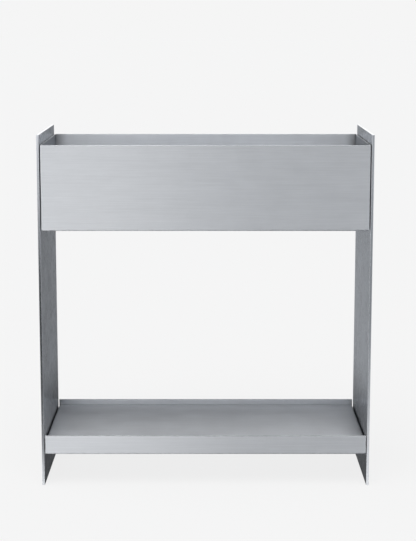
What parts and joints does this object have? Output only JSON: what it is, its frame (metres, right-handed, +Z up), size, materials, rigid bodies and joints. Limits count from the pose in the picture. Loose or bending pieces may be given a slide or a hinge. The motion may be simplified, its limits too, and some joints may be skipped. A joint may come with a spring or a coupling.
{
  "type": "raised planter",
  "caption": "Raised planter of bare brushed aluminium: an open rectangular trough hung between tall flat side plates that serve as legs, with a lipped shelf for pots near the floor.",
  "frame": {"origin": "middle of the footprint, on the floor that the side plates stand on", "axes": "+Z up; +X to the right seen from the front; +Y from the front to the back"},
  "size_m": [0.65, 0.25, 0.7],
  "materials": {
    "plate_aluminium": "bare plate, finely brushed from top to bottom, satin",
    "sheet_aluminium": "bare sheet, finely brushed along its length, satin",
    "stainless_steel": "bright stainless fasteners",
    "nylon": "matte black nylon"
  },
  "bodies": {
    "root": {"left_side_panel": "plate_aluminium", "right_side_panel": "plate_aluminium", "planter_trough": "sheet_aluminium", "plant_shelf": "sheet_aluminium", "trough_screws_left": "stainless_steel", "trough_spacers_left": "nylon", "trough_washers_left": "stainless_steel", "trough_cap_nuts_left": "stainless_steel", "trough_screws_right": "stainless_steel", "trough_spacers_right": "nylon", "trough_washers_right": "stainless_steel", "trough_cap_nuts_right": "stainless_steel", "shelf_screws_left": "stainless_steel", "shelf_spacers_left": "nylon", "shelf_washers_left": "stainless_steel", "shelf_cap_nuts_left": "stainless_steel", "shelf_screws_right": "stainless_steel", "shelf_spacers_right": "nylon", "shelf_washers_right": "stainless_steel", "shelf_cap_nuts_right": "stainless_steel"}
  },
  "joints": []
}
